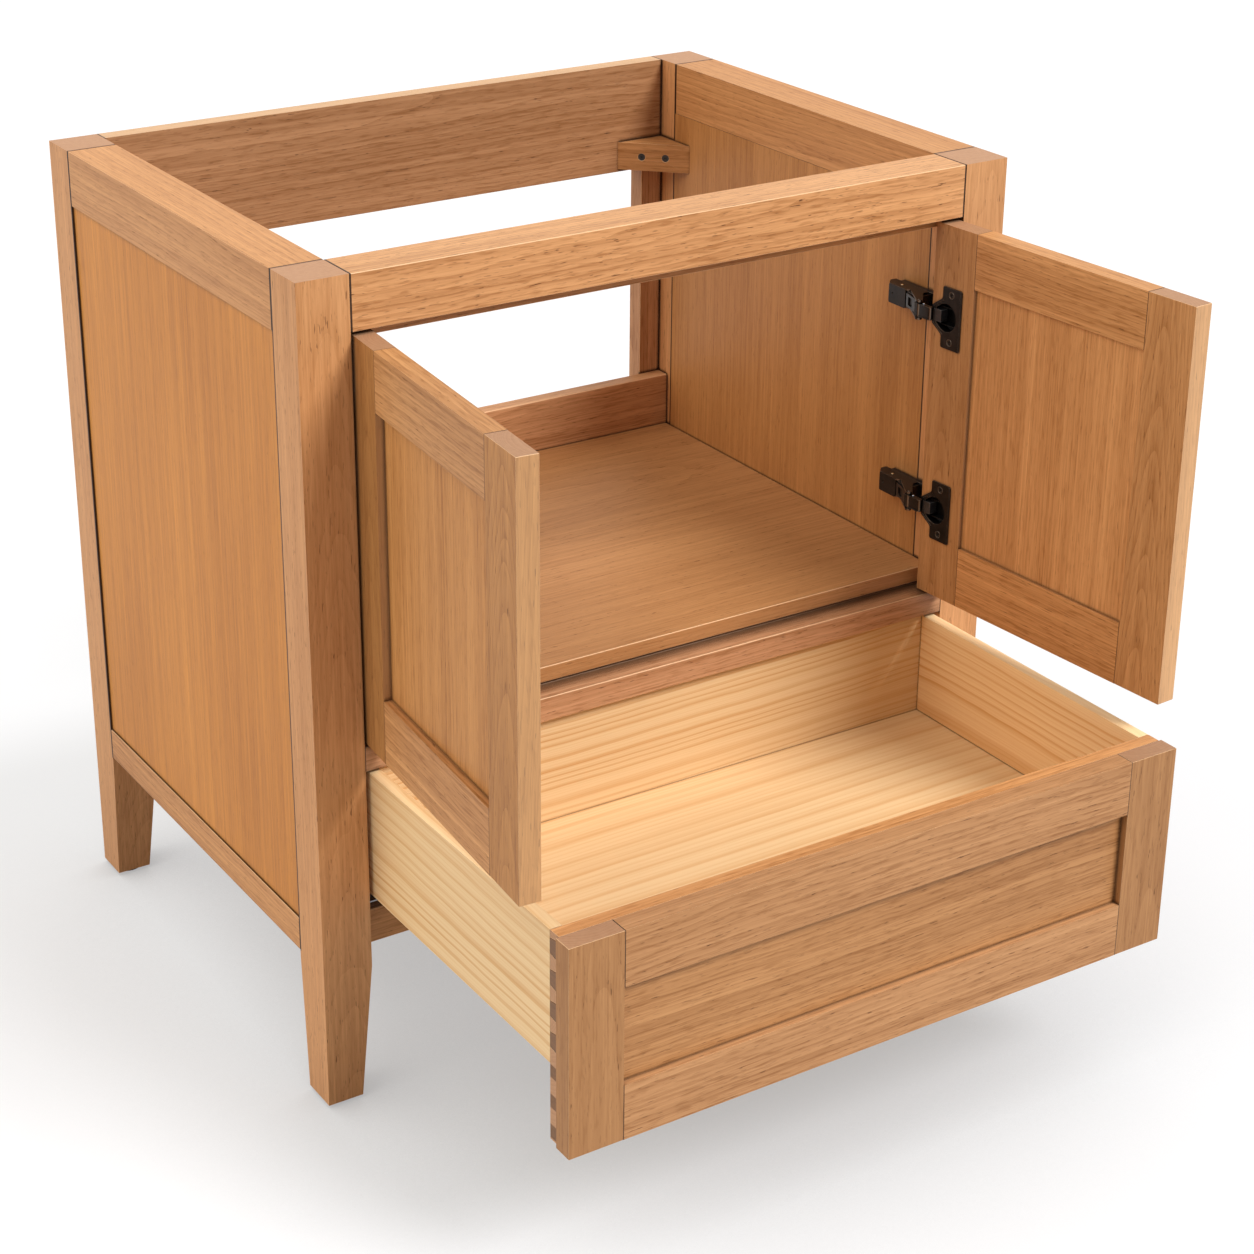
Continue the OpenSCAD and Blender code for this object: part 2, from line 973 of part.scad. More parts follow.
module hinge_plate(z) {
    color(bronze) difference() {
        block([post_w, plate_y0, z - arm_w / 2], [post_w + plate_t, plate_y1, z + arm_w / 2]);
        for (y = plate_screw_y)
            translate([post_w - eps, y, z]) rotate([0, 90, 0])
                cylinder(r = screw_head_r + 0.05, h = plate_t + 2 * eps);
    }
}

module hinge_plates() {
    place() both_ends() for (z = hinge_z) hinge_plate(z);
}

module hinge_plate_screws() {
    color(bronze) place() both_ends() plate_screw_spots() translate([0, 0, screw_sink - plate_t])
        screw(plate_screw_l) cylinder(r = screw_head_r, h = plate_t - screw_sink);
}

post_front_left();
post_front_right();
post_rear_left();
post_rear_right();
top_rail_front();
top_rail_rear();
top_rail_left();
top_rail_right();
bottom_rail_front();
bottom_rail_rear();
bottom_rail_left();
bottom_rail_right();
mid_rail();
side_panel_left();
side_panel_right();
side_lining_left();
side_lining_right();
door_stop();
deck();
deck_cleats();
low_back_board();
back_stile_left();
back_stile_right();
corner_block_left();
corner_block_right();
corner_block_screws();
foot_glides();
slide_fixed_left();
slide_fixed_right();
slide_middle_left();
slide_middle_right();
slide_drawer_left();
slide_drawer_right();
drawer_front_stile_left();
drawer_front_stile_right();
drawer_front_rail_top();
drawer_front_rail_bottom();
drawer_front_panel();
drawer_box_front();
drawer_side_left();
drawer_side_right();
drawer_back();
drawer_bottom();
left_door_hinge_stile();
left_door_free_stile();
left_door_top_rail();
left_door_bottom_rail();
left_door_panel();
right_door_hinge_stile();
right_door_free_stile();
right_door_top_rail();
right_door_bottom_rail();
right_door_panel();
hinge_cups_left();
hinge_cups_right();
hinge_links_left();
hinge_links_right();
hinge_arms();
hinge_plates();
hinge_plate_screws();
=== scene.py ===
import json
import math

import bmesh
import bpy
from mathutils import Matrix, Vector


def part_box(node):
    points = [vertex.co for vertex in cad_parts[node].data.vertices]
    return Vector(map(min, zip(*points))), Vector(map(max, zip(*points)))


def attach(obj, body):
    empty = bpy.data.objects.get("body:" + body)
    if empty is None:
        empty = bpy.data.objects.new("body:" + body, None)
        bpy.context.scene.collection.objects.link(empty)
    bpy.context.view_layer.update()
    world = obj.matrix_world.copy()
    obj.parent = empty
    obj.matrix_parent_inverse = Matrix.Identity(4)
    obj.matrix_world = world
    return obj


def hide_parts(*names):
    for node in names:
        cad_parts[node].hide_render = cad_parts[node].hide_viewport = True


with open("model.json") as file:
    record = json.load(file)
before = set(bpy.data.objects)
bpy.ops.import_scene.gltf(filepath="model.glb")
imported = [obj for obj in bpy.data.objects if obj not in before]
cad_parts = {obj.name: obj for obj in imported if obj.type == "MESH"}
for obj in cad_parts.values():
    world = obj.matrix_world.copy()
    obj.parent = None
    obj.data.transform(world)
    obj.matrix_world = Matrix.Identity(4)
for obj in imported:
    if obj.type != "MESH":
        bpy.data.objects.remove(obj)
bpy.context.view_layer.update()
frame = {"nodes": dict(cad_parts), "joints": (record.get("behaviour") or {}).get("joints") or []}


# Four corner posts of solid oak, planed square and tapered at the foot, with
# softly rounded arrises. Their long faces show upright figure and small specks,
# and their tops show smooth, darker end grain.
class Wire:
    """A socket in a material. Arithmetic on it adds Math nodes, and node() adds any other node."""

    def __init__(self, tree, socket):
        self.tree, self.socket = tree, socket

    def node(self, kind, settings, inputs, output=0):
        made = self.tree.nodes.new("ShaderNode" + kind)
        for name, value in settings.items():
            setattr(made, name, value)
        for name, value in inputs.items():
            if isinstance(value, Wire):
                self.tree.links.new(value.socket, made.inputs[name])
            else:
                made.inputs[name].default_value = value
        return Wire(self.tree, made.outputs[output])

    def other(self, output):
        return Wire(self.tree, self.socket.node.outputs[output])

    def math(self, operation, *values, clamp=False):
        """A Math node with this socket as its first value."""
        settings = {"operation": operation, "use_clamp": clamp}
        return self.node("Math", settings, dict(enumerate((self, *values))))

    def __add__(self, value):
        return self.math("ADD", value)

    __radd__ = __add__

    def __sub__(self, value):
        return self.math("SUBTRACT", value)

    def __rsub__(self, value):
        return self.node("Math", {"operation": "SUBTRACT"}, {0: value, 1: self})

    def __mul__(self, value):
        return self.math("MULTIPLY", value)

    __rmul__ = __mul__

    def __truediv__(self, value):
        return self.math("DIVIDE", value)

    def __abs__(self):
        return self.math("ABSOLUTE")

    def feed(self, shader, socket):
        """Links this to a socket of the material's shader."""
        self.tree.links.new(self.socket, shader.inputs[socket])

    def step(self, start, end):
        """0 at start and 1 at end, with a smooth rise between."""
        return self.node(
            "MapRange",
            {"interpolation_type": "SMOOTHSTEP"},
            {"Value": self, "From Min": start, "From Max": end},
        )

    def mix(self, colour_0, colour_1):
        """colour_0 where this is 0, colour_1 where it is 1."""
        return self.node("Mix", {"data_type": "RGBA"}, {0: self, 6: colour_0, 7: colour_1}, 2)


def start_material(name):
    """A new material, its shader node and a wire with the rest coordinates in metres."""
    material = bpy.data.materials.new(name)
    material.use_nodes = True
    tree = material.node_tree
    place = tree.nodes.new("ShaderNodeTexCoord")
    return material, tree.nodes["Principled BSDF"], Wire(tree, place.outputs["Object"])


def board_axes(at, grain, turn):
    """Distances along the grain, across it and through the board, how far the face looks along the
    grain and to the board's side, and the rounded arrises. turn is the board's own angle about Z."""
    normal = Wire(at.tree, at.socket.node.outputs["Normal"])
    if turn:
        about_z = {"rotation_type": "Z_AXIS"}
        at = at.node("VectorRotate", about_z, {"Vector": at, "Angle": turn})
        normal = normal.node("VectorRotate", about_z, {"Vector": normal, "Angle": turn})
    x = at.node("SeparateXYZ", {}, {"Vector": at}, "X")
    n = at.node("SeparateXYZ", {}, {"Vector": normal}, "X")
    order = {"x": "XZY", "y": "YZX", "z": "ZXY"}[grain]
    along, across, deep = (x.other(letter) for letter in order)
    end, side, face = (abs(n.other(letter)) for letter in order)
    flattest = end.math("MAXIMUM", side).math("MAXIMUM", face)
    return along, across, deep, end, side, (1.0 - flattest).step(0.02, 0.12)


def grain_noise(along, across, deep, rates, detail=2.0, rough=0.5, seed=0.0):
    """Noise from about 0 to 1. rates are its waves per metre along the grain and across it."""
    scaled = {"X": along * rates[0], "Y": across * rates[1], "Z": deep * rates[1] + seed}
    at = along.node("CombineXYZ", {}, scaled)
    look = {"Vector": at, "Scale": 1.0, "Detail": detail, "Roughness": rough}
    return at.node("TexNoise", {"normalize": True}, look)


def rings(along, across, deep, heart, spacing, cone, wave, seed):
    """Place within a growth ring, 0 to 1, for a log whose heart lies beside the board. cone is how much
    the log widens per metre, wave how far its rings sway, in metres."""
    sway = grain_noise(along, across, deep, (2.2, 5.0), 1.0, 0.4, seed) - 0.5
    ripple = grain_noise(along, across, deep, (16.0, 45.0), 1.0, 0.5, seed + 3.1) - 0.5
    beside, behind = across - heart[0], deep - heart[1]
    radius = (beside * beside + behind * behind).math("SQRT")
    radius = radius + along * cone + sway * wave + ripple * (wave * 0.16)
    turns = radius / spacing
    look = {"W": turns * 0.23 + seed, "Scale": 1.0, "Detail": 1.0}
    uneven = turns.node("TexNoise", {"noise_dimensions": "1D"}, look)
    return (turns + uneven * 2.6).math("FRACT")


def face_ends(node, order, turn):
    """Where the largest long face of a board starts and ends along its grain."""
    board = frame["nodes"][node].data
    spin = Matrix.Rotation(turn, 3, "Z")
    areas, reach = {}, {}
    for face in board.polygons:
        normal = spin @ face.normal
        is_long_face = abs(normal[order[0]]) < 0.1
        if is_long_face:
            axis = max(order[1:], key=lambda item: abs(normal[item]))
            corners = [spin @ board.vertices[index].co for index in face.vertices]
            level = (axis, round(corners[0][axis], 4))
            areas[level] = areas.get(level, 0.0) + face.area
            reach.setdefault(level, []).extend(corner[order[0]] for corner in corners)
    largest = max(areas, key=areas.get)
    return min(reach[largest]), max(reach[largest])


def oak(name, nodes, grain, heart, spacing=0.0030, cone=0.012, wave=0.012, figure=1.0, pores=1.0,
        depth=1.0, turn=0.0, seed=0.0, arris=0.0012, warm=1.0, gap=0.0040, line=1.0, joint=0.0,
        edge=0.0, seam=None, contrast=1.0):
    """Oiled brown oak for one board, or for boards cut from one plank.

    heart is the log's heart beside the board's middle, across the grain and through the board, and
    spacing the width of a ring. figure is how strong the rings show and contrast how strong the bands.
    A depth under 1 is a darker board, warm over 1 a yellower one. gap is how far the painted shade from
    ambient occlusion reaches into creases and beside a neighbour, and line how dark it is. joint is the
    width of the dark line at the shoulders of a rail. seam is the depth and the lowest height of the line
    where a post meets its neighbours, and edge paints the narrow faces paler, as painted light."""
    material, shader, at = start_material(name)
    low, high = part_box(nodes[0])
    centre = (low + high) / 2
    if turn:
        centre = Matrix.Rotation(turn, 3, "Z") @ centre
    order = {"x": (0, 2, 1), "y": (1, 2, 0), "z": (2, 0, 1)}[grain]
    along, across, deep, end, side, rounded = board_axes(at, grain, turn)
    middle = (centre[order[1]] + heart[0], centre[order[2]] + heart[1])
    ring = rings(along, across, deep, middle, spacing, cone, wave, seed)

    # tone: growth rings, broad bands, fine fibres, then the pores of the early wood
    broken = grain_noise(along, across, deep, (22.0, 150.0), seed=seed + 37.0)
    early = (1.0 - ring.step(0.0, 0.42)) * broken.math("MULTIPLY", 1.9, clamp=True)
    late = ring.step(0.50, 0.97)
    bands = grain_noise(along, across, deep, (0.8, 74.0), seed=seed + 7.0)
    clouds = grain_noise(along, across, deep, (3.0, 7.0), seed=seed + 11.0)
    fibres = grain_noise(along, across, deep, (11.0, 560.0), 3.0, 0.65, seed + 17.0)
    streaks = grain_noise(along, across, deep, (2.2, 230.0), 2.0, 0.55, seed + 23.0)
    specks = grain_noise(along, across, deep, (95.0, 760.0), 1.0, 0.4, seed + 29.0)
    bend = (grain_noise(along, across, deep, (34.0, 70.0), 1.0, seed=seed + 43.0) - 0.5) * 0.0034
    dashes = grain_noise(along, across + bend, deep + bend, (42.0, 430.0), 1.0, seed=seed + 47.0)
    dashes = dashes.step(0.50, 0.70)
    pore = specks.step(0.655, 0.74) * (0.3 + 0.7 * early) * pores
    shade = (
        0.52
        + (bands - 0.5) * (0.75 * contrast)
        + (clouds - 0.5) * 0.55
        + (fibres - 0.5) * 0.85
        + (streaks - 0.5) * (0.80 * contrast)
        + late * (0.12 * figure)
        - early * (0.24 * figure)
        - dashes * (0.10 + 0.22 * figure) * contrast
    )
    dark_wood, light_wood, pore_brown = (
        (depth * red, depth * green / warm ** 0.20, depth * blue / warm, 1)
        for red, green, blue in ((0.415, 0.170, 0.050), (0.770, 0.385, 0.150), (0.150, 0.055, 0.016))
    )
    long_face = 1.0 - end.step(0.5, 0.8)
    colour = shade.math("ADD", 0.0, clamp=True).mix(dark_wood, light_wood)
    colour = (pore * long_face).mix(colour, pore_brown)

    # end grain, then arrises paler (painted highlight and wear) and narrow faces paler (painted light)
    end_light, end_dark = (
        tuple(depth ** 0.5 * part for part in brown) + (1,)
        for brown in ((0.55, 0.306, 0.165), (0.385, 0.187, 0.089))
    )
    end_tone = grain_noise(along, across, deep, (40.0, 300.0), seed=seed + 31.0) * 0.6 + ring * 0.35
    colour = end.step(0.6, 0.9).mix(colour, end_tone.mix(end_light, end_dark))
    highlight_and_wear = (0.93, 0.62, 0.35, 1)
    if edge:
        colour = (side.step(0.5, 0.8) * edge).mix(colour, highlight_and_wear)
    colour = (rounded * 0.65).mix(colour, highlight_and_wear)

    # painted shade from ambient occlusion in creases and beside neighbouring boards, then dark joint
    # lines
    crease_shade_black, joint_black = (0.045, 0.017, 0.006, 1), (0.040, 0.016, 0.006, 1)
    crease_occlusion = at.node("AmbientOcclusion", {"samples": 6, "only_local": False}, {"Distance": gap}, "AO")
    colour = (crease_occlusion.step(0.95, 0.66) * line).mix(colour, crease_shade_black)
    if joint:
        first, last = face_ends(nodes[0], order, turn)
        inside = (along - first).math("MINIMUM", last - along)
        colour = (inside.step(joint, joint * 0.75) * long_face).mix(colour, joint_black)
    if seam:
        beside = abs(deep - seam[0]).step(0.0021, 0.0015) * along.step(seam[1] - 0.0010, seam[1])
        colour = (beside * (1.0 - end * 0.6)).mix(colour, joint_black)
    colour.feed(shader, "Base Color")
    (0.44 + fibres * 0.12 + pore * 0.2).feed(shader, "Roughness")
    height = fibres * 0.45 - early * 0.35 - pore * 0.9
    at.node("Bump", {}, {"Strength": 0.22, "Distance": 0.0004, "Height": height}).feed(shader, "Normal")
    shader.inputs["Specular IOR Level"].default_value = 0.30
    for node in nodes:
        finish_board(node, material, arris)
    return material


def finish_board(node, material, arris):
    """Material and rounded arrises for a CAD node. Its own mesh isn't changed."""
    board = frame["nodes"][node]
    board.data.materials.clear()
    board.data.materials.append(material)
    weld = board.modifiers.new("joined_faces", "WELD")
    weld.merge_threshold = 0.00002
    round_over = board.modifiers.new("rounded_arris", "BEVEL")
    round_over.width = arris
    round_over.segments = 2
    round_over.limit_method = "ANGLE"
    round_over.angle_limit = math.radians(35)
    round_over.harden_normals = True


posts = ["post_front_left", "post_front_right", "post_rear_left", "post_rear_right"]
for index, node in enumerate(posts):
    low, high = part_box(node)
    oak(node, [node], "z", heart=(0.004 + 0.006 * index, 0.055), spacing=0.0030, cone=0.034, wave=0.016,
        figure=0.42, pores=0.9, depth=1.00, seed=index * 5.3, warm=0.90, contrast=0.65,
        seam=(high.y if index < 2 else low.y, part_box("bottom_rail_left")[0].z))


# Frame rails of the same oak, cut along the grain, tenoned into the posts: four
# at the top, four below and one between the doors and the drawer. The fronts
# show wavy lines and short dark pores.
oak("top_rail_front", ["top_rail_front"], "x", heart=(0.030, 0.045), spacing=0.0046, cone=0.010,
    wave=0.022, figure=1.2, pores=1.6, depth=1.01, seed=2.0, warm=0.92, joint=0.0022, edge=0.12)
oak("top_rail_rear", ["top_rail_rear"], "x", heart=(0.050, 0.050), spacing=0.0044, cone=0.012,
    wave=0.024, figure=1.0, pores=1.0, depth=0.66, seed=9.0, warm=0.80, joint=0.0018, edge=0.45)
oak("top_rail_left", ["top_rail_left"], "y", heart=(0.060, 0.045), spacing=0.0040, cone=0.012,
    wave=0.018, figure=0.8, pores=0.6, depth=0.94, seed=13.0, joint=0.0018, warm=0.96, contrast=0.7)
oak("top_rail_right", ["top_rail_right"], "y", heart=(-0.050, 0.045), spacing=0.0040, cone=0.012,
    wave=0.018, figure=0.8, pores=0.6, depth=0.94, seed=15.0, joint=0.0018, contrast=0.7)
# its wide reach of painted shade darkens its top under the deck's front edge like a shadow
oak("mid_rail", ["mid_rail"], "x", heart=(0.040, 0.035), spacing=0.0040, cone=0.008, wave=0.018,
    figure=0.9, pores=1.0, depth=0.88, seed=21.0, joint=0.0010, warm=0.70, gap=0.0180, line=0.75)
oak("bottom_rail_front", ["bottom_rail_front"], "x", heart=(0.040, 0.040), spacing=0.0040, cone=0.008,
    wave=0.018, figure=0.9, pores=1.0, depth=0.9, seed=25.0, joint=0.0010)
oak("bottom_rail_rear", ["bottom_rail_rear"], "x", heart=(0.040, 0.040), spacing=0.0040, cone=0.008,
    wave=0.018, figure=0.9, pores=1.0, depth=0.9, seed=27.0, joint=0.0010)
oak("bottom_rail_left", ["bottom_rail_left"], "y", heart=(0.050, 0.040), spacing=0.0040, cone=0.010,
    wave=0.016, figure=0.8, pores=0.6, depth=0.97, seed=31.0, joint=0.0010)
oak("bottom_rail_right", ["bottom_rail_right"], "y", heart=(0.050, 0.040), spacing=0.0040, cone=0.010,
    wave=0.016, figure=0.8, pores=0.6, depth=0.97, seed=35.0, joint=0.0010)


# Side panels and inner linings, faced with straight oak cut across the rings, so
# that fine upright lines and soft bands of tone run from top to bottom.
for index, node in enumerate(["side_panel_left", "side_panel_right"]):
    oak(node, [node], "z", heart=(0.020, 0.55), spacing=0.0030, cone=0.003, wave=0.006, figure=0.28,
        pores=0.5, depth=0.95, seed=41.0 + index * 3.7, warm=2.60, gap=0.0060, line=0.75, contrast=0.8)
for index, node in enumerate(["side_lining_left", "side_lining_right"]):
    oak(node, [node], "z", heart=(0.020, 0.55), spacing=0.0030, cone=0.003, wave=0.006, figure=0.30,
        pores=0.5, depth=0.79, seed=51.0 + index * 3.7, warm=1.25, gap=0.0025, line=0.6, contrast=0.8)


# Deck, its cleats, the low board behind it, the two thin stiles beside the rear
# posts and the strip that the doors stop against. The deck is a veneered board
# whose grain runs from side to side.
oak("deck", ["deck"], "x", heart=(-0.35, 0.10), spacing=0.0034, cone=0.010, wave=0.020, figure=0.5,
    pores=0.7, depth=0.81, seed=61.0, gap=0.0025, line=0.6, contrast=0.55)
oak("door_stop", ["door_stop"], "x", heart=(0.03, 0.04), spacing=0.0040, cone=0.010, wave=0.018,
    figure=0.8, pores=0.8, depth=0.80, seed=62.0, gap=0.0025)
oak("deck_cleats", ["deck_cleats"], "y", heart=(0.03, 0.03), seed=64.0)
oak("low_back_board", ["low_back_board"], "x", heart=(0.04, 0.05), spacing=0.0036, cone=0.010,
    wave=0.018, figure=0.9, pores=0.8, depth=0.93, seed=66.0, warm=0.78, gap=0.0025, line=0.6)
oak("back_stiles", ["back_stile_left", "back_stile_right"], "z", heart=(0.03, 0.05), spacing=0.0034,
    cone=0.010, wave=0.012, figure=0.8, pores=0.6, depth=0.85, seed=69.0, warm=0.75)
for index, side in enumerate(["left", "right"]):
    oak("corner_block_" + side, ["corner_block_" + side], "x", heart=(0.03, 0.05), spacing=0.0034,
        cone=0.010, wave=0.012, figure=0.9, pores=0.7, depth=0.84, turn=math.radians((-45, 45)[index]),
        seed=72.0 + index, arris=0.0002)


# Two framed doors of oak: stiles at the sides, rails between them and a flat
# panel let into their grooves. The stiles and the panel have upright grain.
hinges = {joint["child"]: joint for joint in frame["joints"] if joint["child"].startswith("door_")}
for side, sign in (("left", 1), ("right", -1)):
    open_by = math.radians(-hinges["door_" + side]["range_deg"][0]) * sign
    seed, tone, warm, edge = (81.0, 0.90, 1.30, 0.19) if side == "left" else (97.0, 1.03, 1.00, 0.27)
    # the hinge stiles are a darker tone: painted shade from the post beside them
    for index, part in enumerate(["hinge_stile", "free_stile"]):
        node = f"{side}_door_{part}"
        oak(node, [node], "z", heart=(0.006, 0.045), spacing=0.0026, cone=0.045, wave=0.012,
            figure=(0.6, 0.9)[index], pores=0.8, depth=tone * (0.73, 0.82)[index], turn=open_by,
            seed=seed + index * 2.3, arris=0.0006, warm=warm, line=0.6, edge=edge, contrast=0.8)
    # the bottom rails are a paler tone: painted light against the shade they sit in
    for index, part in enumerate(["top_rail", "bottom_rail"]):
        node = f"{side}_door_{part}"
        oak(node, [node], "x", heart=(0.050, 0.035), spacing=0.0040, cone=0.012, wave=0.016, figure=1.0,
            pores=0.8, depth=tone * (0.89, 0.95)[index], turn=open_by, seed=seed + 6.0 + index * 2.9,
            arris=0.0006, line=0.6, joint=0.0007)
    node = f"{side}_door_panel"
    oak(node, [node], "z", heart=(0.45, 0.02), spacing=0.0030, cone=0.003, wave=0.006, figure=0.55,
        pores=0.5, depth=tone * 0.95, turn=open_by, seed=seed + 13.0, arris=0.0006, warm=warm,
        gap=0.0028, line=0.5)


# Drawer front, framed like the doors, with its grain running from side to side
# in the rails and the panel.
for index, part in enumerate(["stile_left", "stile_right"]):
    node = f"drawer_front_{part}"
    oak(node, [node], "z", heart=(0.010, 0.045), spacing=0.0036, cone=0.020, wave=0.012, figure=0.6,
        pores=0.8, depth=0.64, seed=121.0 + index * 3.1, arris=0.0006, line=0.6, contrast=0.8)
for index, part in enumerate(["rail_top", "rail_bottom"]):
    node = f"drawer_front_{part}"
    oak(node, [node], "x", heart=(0.040, 0.040), spacing=0.0040, cone=0.010, wave=0.020, figure=1.0,
        pores=1.0, depth=0.75, seed=131.0 + index * 3.3, arris=0.0006, warm=0.9, line=0.6, joint=0.0008,
        edge=0.10)
oak("drawer_front_panel", ["drawer_front_panel"], "x", heart=(0.07, 0.05), spacing=0.0040, cone=0.010,
    wave=0.022, figure=0.9, pores=0.9, depth=0.74, seed=141.0, arris=0.0006, gap=0.0030, line=0.55)


# Drawer box: pine sides with brown stained dovetails let into an oak front board,
# a pine back and a thin pine bottom. Pale early wood lies between orange rings.
stain_browns = (0.130, 0.060, 0.026, 1), (0.260, 0.125, 0.055, 1)


def pine(name, nodes, grain, heart, spacing=0.0110, cone=0.012, wave=0.020, seed=0.0, stained_y=None,
         lines=1.0, pale=1.0):
    """Clear lacquered pine for one board. Ahead of stained_y its dovetails are stained brown. lines is
    how strong the late wood shows, and pale over 1 is a paler board."""
    material, shader, at = start_material(name)
    low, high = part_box(nodes[0])
    centre = (low + high) / 2
    order = {"x": (0, 2, 1), "y": (1, 2, 0), "z": (2, 0, 1)}[grain]
    along, across, deep, end, _, rounded = board_axes(at, grain, 0.0)
    middle = (centre[order[1]] + heart[0], centre[order[2]] + heart[1])
    ring = rings(along, across, deep, middle, spacing, cone, wave, seed)
    late = ring.step(0.45, 0.86) * (1.0 - ring.step(0.88, 0.99))
    uneven = grain_noise(along, across, deep, (2.0, 26.0), seed=seed + 2.0)
    bands = grain_noise(along, across, deep, (1.2, 40.0), seed=seed + 5.0)
    fibres = grain_noise(along, across, deep, (8.0, 520.0), 3.0, 0.6, seed + 9.0)
    minor = rings(along, across, deep, middle, spacing * 0.29, cone, wave, seed).step(0.35, 0.95)
    shade = (
        0.03
        + late * (0.08 + uneven * 0.80) * lines
        + minor * 0.18
        + (bands - 0.5) * 0.45
        + (fibres - 0.5) * 0.45
    )
    early_wood, late_wood = (
        tuple(part * pale for part in yellow) + (1,)
        for yellow in ((0.850, 0.600, 0.320), (0.640, 0.320, 0.100))
    )
    colour = shade.math("ADD", 0.0, clamp=True).mix(early_wood, late_wood)
    end_colour = (0.3 + ring * 0.5).mix((0.60, 0.32, 0.14, 1), (0.33, 0.15, 0.06, 1))
    colour = end.step(0.6, 0.9).mix(colour, end_colour)
    # arrises painted paler: a painted highlight and wear
    highlight_and_wear = (0.90, 0.66, 0.38, 1)
    colour = (rounded * 0.4).mix(colour, highlight_and_wear)
    if stained_y is not None:
        y = at.node("SeparateXYZ", {}, {"Vector": at}, "Y")
        stain = fibres.mix(*stain_browns)
        colour = y.step(stained_y + 0.0006, stained_y - 0.0002).mix(colour, stain)
    # painted shade from ambient occlusion in creases and beside neighbouring boards
    crease_occlusion = at.node("AmbientOcclusion", {"samples": 6, "only_local": False}, {"Distance": 0.0018}, "AO")
    crease_shade_brown = (0.26, 0.12, 0.040, 1)
    colour = (crease_occlusion.step(0.92, 0.60) * 0.7).mix(colour, crease_shade_brown)
    colour.feed(shader, "Base Color")
    (0.40 + fibres * 0.10).feed(shader, "Roughness")
    height = fibres * 0.4 + late * 0.1
    at.node("Bump", {}, {"Strength": 0.10, "Distance": 0.0003, "Height": height}).feed(shader, "Normal")
    shader.inputs["Specular IOR Level"].default_value = 0.30
    for node in nodes:
        finish_board(node, material, 0.0007)


tails_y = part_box("drawer_box_front")[1].y
pine("drawer_side_left", ["drawer_side_left"], "y", heart=(0.17, 0.05), seed=7.0, stained_y=tails_y,
    pale=0.97)
# this side is paler than its twin: painted light on the inside face that the doors shade
pine("drawer_side_right", ["drawer_side_right"], "y", heart=(-0.10, 0.06), seed=12.0, stained_y=tails_y,
    pale=1.17)
pine("drawer_back", ["drawer_back"], "x", heart=(0.30, 0.06), spacing=0.0085, cone=0.016, wave=0.014,
    seed=17.0, pale=0.93)
pine("drawer_bottom", ["drawer_bottom"], "x", heart=(0.05, 0.90), spacing=0.0230, cone=0.010,
    wave=0.012, seed=23.0, lines=0.65)
material = oak("drawer_box_front", ["drawer_box_front"], "x", heart=(0.04, 0.04), spacing=0.0034,
    cone=0.010, wave=0.016, figure=0.8, pores=0.6, depth=1.0, seed=151.0, arris=0.0006)

# the ends of the box front: its stained joints go on below the drawer side
tree = material.node_tree
bare = Wire(tree, tree.nodes["Principled BSDF"].inputs["Base Color"].links[0].from_socket)
x = bare.node("SeparateXYZ", {}, {"Vector": bare.node("TexCoord", {}, {}, "Object")}, "X")
y, z = x.other("Y"), x.other("Z")
box_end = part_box("drawer_side_left")[0]
half_pitch, first_mark = 0.015, box_end.z - 0.0060
row = (z - first_mark).math("PINGPONG", half_pitch)
below = z.step(box_end.z + 0.0002, box_end.z - 0.0002)
at_end = abs(x).step(abs(box_end.x) - 0.0010, abs(box_end.x) - 0.0004)
stain = grain_noise(x, z, y, (60.0, 400.0), seed=153.0).mix(*stain_browns)
marked = (row.step(0.0072, 0.0062) * below * at_end).mix(bare, stain)
marked.feed(tree.nodes["Principled BSDF"], "Base Color")


# Drawer slides of zinc plated steel, out of sight under the drawer box. Each side
# has three rolled members: one on the cabinet, one in the middle and one under the
# drawer side.
def metal(name, nodes, colour_0, colour_1, rough_0, rough_1, metallic, stretch=(1.0, 1.0, 1.0),
          scale=120.0, edge=None):
    """Plated or painted metal with fine scratches and uneven gloss, and with a painted highlight on its
    edges in the edge colour, if given. Its colour and its roughness wander between the two given values."""
    material, shader, at = start_material(name)
    place = at.node("Mapping", {}, {"Vector": at, "Scale": stretch})
    fine = at.node("TexNoise", {}, {"Vector": place, "Scale": scale, "Detail": 3.0, "Roughness": 0.6})
    broad = at.node("TexNoise", {}, {"Vector": at, "Scale": scale / 9.0, "Detail": 2.0})
    colour = (fine * 0.5 + broad * 0.5).step(0.3, 0.7).mix(colour_0, colour_1)
    # edges painted paler in the edge colour: a painted highlight
    if edge:
        rounded = board_axes(at, "z", 0.0)[5]
        edge_highlight = (rounded * (0.45 + broad * 0.8)).math("MINIMUM", 1.0)
        colour = edge_highlight.mix(colour, edge)
    colour.feed(shader, "Base Color")
    (rough_0 + fine * (rough_1 - rough_0)).feed(shader, "Roughness")
    shader.inputs["Metallic"].default_value = metallic
    at.node("Bump", {}, {"Strength": 0.08, "Distance": 0.0002, "Height": fine}).feed(shader, "Normal")
    for node in nodes:
        finish_board(node, material, 0.0002)
    return material


members = [f"slide_{part}_{side}" for part in ("fixed", "middle", "drawer") for side in ("left", "right")]
metal("zinc_plate", members, colour_0=(0.30, 0.30, 0.31, 1), colour_1=(0.46, 0.46, 0.47, 1),
    rough_0=0.3, rough_1=0.55, metallic=1.0, stretch=(1, 0.08, 1), scale=300.0)


# Glides: dark plastic pads under the feet, each held by a nail through its middle
# into the end grain of the post.
metal("glide_pad", ["foot_glides"], colour_0=(0.030, 0.027, 0.025, 1), colour_1=(0.060, 0.055, 0.050, 1),
    rough_0=0.55, rough_1=0.8, metallic=0.0)


